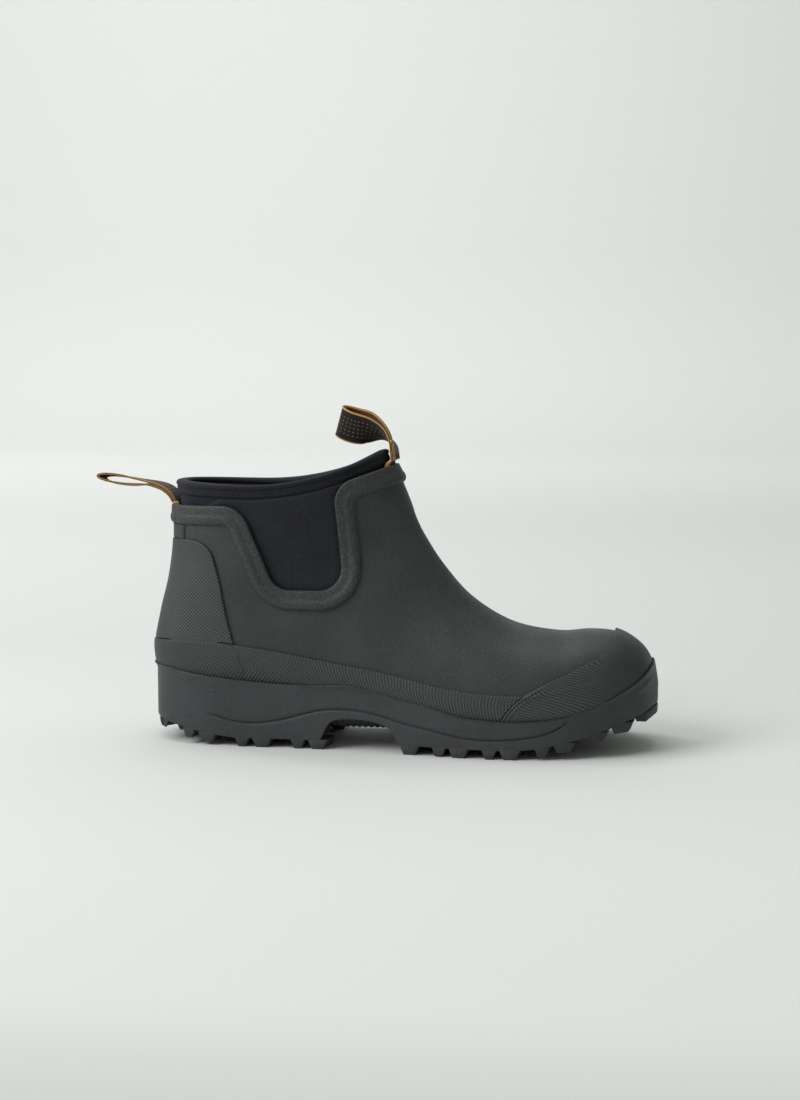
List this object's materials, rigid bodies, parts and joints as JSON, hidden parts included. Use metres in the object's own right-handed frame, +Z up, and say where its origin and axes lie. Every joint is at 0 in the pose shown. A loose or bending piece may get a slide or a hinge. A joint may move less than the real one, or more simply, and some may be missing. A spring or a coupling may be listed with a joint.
{
  "type": "rubber rain boot",
  "caption": "Ankle-height rubber rain boot with a cleated cup sole, toe cap, soft side gussets in a raised topline band, a neoprene bootie, a loose footbed and webbing pull loops.",
  "frame": {"origin": "on the ground under the ankle, on the flat tread of the heel", "axes": "+X towards the toe, +Y towards the inner (medial) side of this right boot, +Z up"},
  "size_m": [0.3394, 0.1007, 0.2018],
  "materials": {
    "sole_rubber": "matt moulded rubber",
    "upper_rubber": "matt, fine pebble grain",
    "textured_rubber": "matt, fine diagonal relief",
    "band_rubber": "satin matt",
    "sponge_rubber": "open sponge",
    "shank_steel": "bare strip",
    "fibre_board": "pressed fibre",
    "stiffener_cloth": "rubberised cloth",
    "neoprene": "knit-faced neoprene",
    "binding_fabric": "fine knit tape",
    "footbed_foam": "closed-cell foam",
    "footbed_fabric": "brushed knit",
    "webbing": "woven tape with light selvedges",
    "thread": "twisted polyester"
  },
  "bodies": {
    "boot": {"outsole": "sole_rubber", "heel_wedge": "sponge_rubber", "forefoot_filler": "sponge_rubber", "shank": "shank_steel", "insole_board": "fibre_board", "upper_shell": "upper_rubber", "foxing_strip": "textured_rubber", "toe_cap": "textured_rubber", "heel_counter": "upper_rubber", "back_stay": "upper_rubber", "topline_band": "band_rubber", "toe_puff": "stiffener_cloth", "heel_stiffener": "stiffener_cloth", "liner": "neoprene", "liner_seam_tape": "binding_fabric", "gusset_lateral": "neoprene", "gusset_medial": "neoprene", "collar_binding": "binding_fabric"},
    "footbed": {"footbed_foam": "footbed_foam", "footbed_cover": "footbed_fabric"},
    "front_loop": {"front_pull_loop": "webbing", "front_loop_bartack": "thread"},
    "rear_loop": {"rear_pull_loop": "webbing", "rear_loop_bartack": "thread"}
  },
  "joints": [
    {"name": "front_loop_fold", "type": "hinge", "parent": "boot", "child": "front_loop", "pos_m": [0.0863, 0, 0.1697], "axis": [0, 1, 0], "range_deg": [-4, 92], "stiffness_Nm_per_rad": 0.03},
    {"name": "rear_loop_fold", "type": "hinge", "parent": "boot", "child": "rear_loop", "pos_m": [-0.0476, 0, 0.1438], "axis": [0, 1, 0], "range_deg": [-30, 28], "stiffness_Nm_per_rad": 0.03},
    {"name": "footbed_lift", "type": "hinge", "parent": "boot", "child": "footbed", "pos_m": [0.229, 0, 0.036], "axis": [0, 1, 0], "range_deg": [0, 7]}
  ]
}
